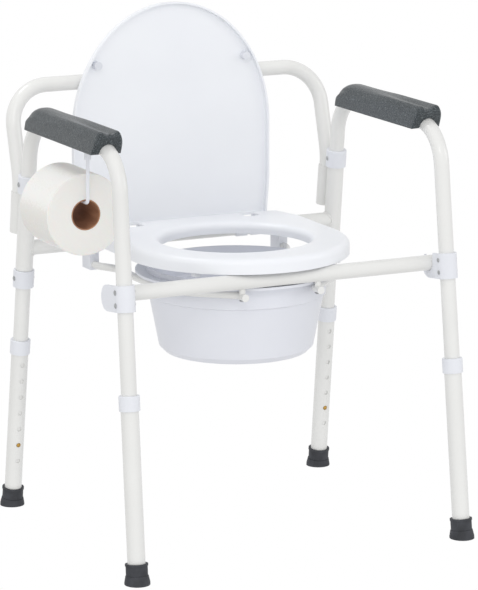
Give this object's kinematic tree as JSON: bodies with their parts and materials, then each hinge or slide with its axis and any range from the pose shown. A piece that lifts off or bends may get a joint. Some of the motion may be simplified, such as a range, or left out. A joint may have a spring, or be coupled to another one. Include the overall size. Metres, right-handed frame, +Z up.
{
  "type": "commode chair",
  "caption": "Folding steel commode chair with height-adjustable legs, padded arms, a hinged seat and lid over a lift-out bucket, and a paper-roll holder.",
  "frame": {"origin": "on the floor, on the middle plane, midway between the front and rear feet", "axes": "+X towards the side without the paper roll, +Y from front to back, +Z up; the sitter faces -Y"},
  "size_m": [0.591, 0.4907, 0.748],
  "materials": {
    "painted_steel": "smooth semi-gloss white powder coat",
    "fitting_white": "satin white moulding",
    "seat_white": "satin white blow moulding",
    "bucket_white": "semi-gloss white moulding",
    "bumper_white": "soft white",
    "armrest_grey": "fine-grained dark grey",
    "rubber_grey": "dull dark grey",
    "brass": "polished",
    "zinc": "zinc plated",
    "spring_steel": "plain",
    "paper": "soft tissue paper",
    "cardboard": "plain brown card"
  },
  "bodies": {
    "rear_frame": {"rear_crossbar": "painted_steel", "left_hinge_sleeve": "painted_steel", "right_hinge_sleeve": "painted_steel", "left_back_socket": "painted_steel", "right_back_socket": "painted_steel", "back_tube": "painted_steel", "left_back_button_spring": "spring_steel", "right_back_button_spring": "spring_steel"},
    "left_side": {"left_side_frame": "painted_steel", "left_lower_pivot_collar": "fitting_white", "left_upper_pivot_collar": "fitting_white", "left_rivets": "zinc", "left_front_bracket": "fitting_white", "left_armrest": "armrest_grey", "left_armrest_screws": "zinc", "front_left_leg_button_spring": "spring_steel", "rear_left_leg_button_spring": "spring_steel", "roll_holder_eye": "fitting_white"},
    "front_left_leg": {"front_left_leg_extension": "painted_steel", "front_left_leg_collar": "fitting_white", "front_left_leg_tip": "rubber_grey"},
    "front_left_leg_button": {"front_left_leg_button": "brass"},
    "rear_left_leg": {"rear_left_leg_extension": "painted_steel", "rear_left_leg_collar": "fitting_white", "rear_left_leg_tip": "rubber_grey"},
    "rear_left_leg_button": {"rear_left_leg_button": "brass"},
    "left_back_button": {"left_back_button": "brass"},
    "right_side": {"right_side_frame": "painted_steel", "right_lower_pivot_collar": "fitting_white", "right_upper_pivot_collar": "fitting_white", "right_rivets": "zinc", "right_front_bracket": "fitting_white", "right_armrest": "armrest_grey", "right_armrest_screws": "zinc", "front_right_leg_button_spring": "spring_steel", "rear_right_leg_button_spring": "spring_steel"},
    "front_right_leg": {"front_right_leg_extension": "painted_steel", "front_right_leg_collar": "fitting_white", "front_right_leg_tip": "rubber_grey"},
    "front_right_leg_button": {"front_right_leg_button": "brass"},
    "rear_right_leg": {"rear_right_leg_extension": "painted_steel", "rear_right_leg_collar": "fitting_white", "rear_right_leg_tip": "rubber_grey"},
    "rear_right_leg_button": {"rear_right_leg_button": "brass"},
    "right_back_button": {"right_back_button": "brass"},
    "seat_frame": {"front_crossbar": "painted_steel", "crossbar_end_plugs": "fitting_white", "left_bucket_rail": "painted_steel", "right_bucket_rail": "painted_steel", "rail_screws": "zinc", "rail_pivot_clamps": "fitting_white"},
    "seat": {"seat": "seat_white", "seat_hinge_clips": "seat_white", "seat_bumpers": "bumper_white"},
    "lid": {"lid": "seat_white", "lid_bumpers": "bumper_white"},
    "bucket": {"bucket": "bucket_white"},
    "roll_holder": {"roll_holder_wire": "fitting_white"},
    "roll": {"roll_core": "cardboard", "paper_roll": "paper"}
  },
  "joints": [
    {"name": "seat_frame_lift", "type": "hinge", "parent": "rear_frame", "child": "seat_frame", "pos_m": [0, 0.174, 0.403], "axis": [-1, 0, 0], "range_deg": [0, 85]},
    {"name": "left_side_spread", "type": "hinge", "parent": "rear_frame", "child": "left_side", "pos_m": [-0.25459, 0.17087, 0.42629], "axis": [-0.0114, 0.1305, -0.9914], "range_deg": [0, 12]},
    {"name": "front_left_height_slide", "type": "slide", "parent": "left_side", "child": "front_left_leg", "axis": [0.0114, 0.1149, 0.9933], "range_m": [-0.127, 0.0254]},
    {"name": "front_left_button_press", "type": "slide", "parent": "left_side", "child": "front_left_leg_button", "axis": [0.0013, -0.9934, 0.1149], "range_m": [0, 0.0038], "stiffness_N_per_m": 900, "springref_m": -0.004, "deforming": ["front_left_leg_button_spring"]},
    {"name": "rear_left_height_slide", "type": "slide", "parent": "left_side", "child": "rear_left_leg", "axis": [0.0114, -0.1305, 0.9914], "range_m": [-0.127, 0.0254]},
    {"name": "rear_left_button_press", "type": "slide", "parent": "left_side", "child": "rear_left_leg_button", "axis": [0.0015, 0.9914, 0.1305], "range_m": [0, 0.0038], "stiffness_N_per_m": 900, "springref_m": -0.004, "deforming": ["rear_left_leg_button_spring"]},
    {"name": "left_back_button_press", "type": "slide", "parent": "rear_frame", "child": "left_back_button", "axis": [0, -0.9914, -0.1305], "range_m": [0, 0.0038], "stiffness_N_per_m": 900, "springref_m": -0.004, "deforming": ["left_back_button_spring"]},
    {"name": "right_side_spread", "type": "hinge", "parent": "rear_frame", "child": "right_side", "pos_m": [0.25459, 0.17087, 0.42629], "axis": [-0.0114, -0.1305, 0.9914], "range_deg": [0, 12]},
    {"name": "front_right_height_slide", "type": "slide", "parent": "right_side", "child": "front_right_leg", "axis": [-0.0114, 0.1149, 0.9933], "range_m": [-0.127, 0.0254]},
    {"name": "front_right_button_press", "type": "slide", "parent": "right_side", "child": "front_right_leg_button", "axis": [-0.0013, -0.9934, 0.1149], "range_m": [0, 0.0038], "stiffness_N_per_m": 900, "springref_m": -0.004, "deforming": ["front_right_leg_button_spring"]},
    {"name": "rear_right_height_slide", "type": "slide", "parent": "right_side", "child": "rear_right_leg", "axis": [-0.0114, -0.1305, 0.9914], "range_m": [-0.127, 0.0254]},
    {"name": "rear_right_button_press", "type": "slide", "parent": "right_side", "child": "rear_right_leg_button", "axis": [-0.0015, 0.9914, 0.1305], "range_m": [0, 0.0038], "stiffness_N_per_m": 900, "springref_m": -0.004, "deforming": ["rear_right_leg_button_spring"]},
    {"name": "right_back_button_press", "type": "slide", "parent": "rear_frame", "child": "right_back_button", "axis": [0, -0.9914, -0.1305], "range_m": [0, 0.0038], "stiffness_N_per_m": 900, "springref_m": -0.004, "deforming": ["right_back_button_spring"]},
    {"name": "seat_hinge", "type": "hinge", "parent": "seat_frame", "child": "seat", "pos_m": [0, 0.174, 0.403], "axis": [1, 0, 0], "range_deg": [-88, 0]},
    {"name": "lid_hinge", "type": "hinge", "parent": "rear_frame", "child": "lid", "pos_m": [0, 0.174, 0.403], "axis": [-1, 0, 0], "range_deg": [-90, 0]},
    {"name": "bucket_slide", "type": "slide", "parent": "seat_frame", "child": "bucket", "axis": [0, 1, 0], "range_m": [0, 0.34]},
    {"name": "roll_holder_swing", "type": "hinge", "parent": "left_side", "child": "roll_holder", "pos_m": [-0.25282, -0.054, 0.57996], "axis": [0.0115, 0, 0.9999], "range_deg": [0, 90]},
    {"name": "roll_spin", "type": "hinge", "parent": "roll_holder", "child": "roll", "pos_m": [-0.25385, 0.002, 0.49077], "axis": [0, 1, 0], "continuous": true}
  ],
  "couplings": [
    {"joint": "left_side_spread", "follows": "seat_frame_lift", "ratio": 0.14},
    {"joint": "right_side_spread", "follows": "seat_frame_lift", "ratio": 0.14}
  ]
}
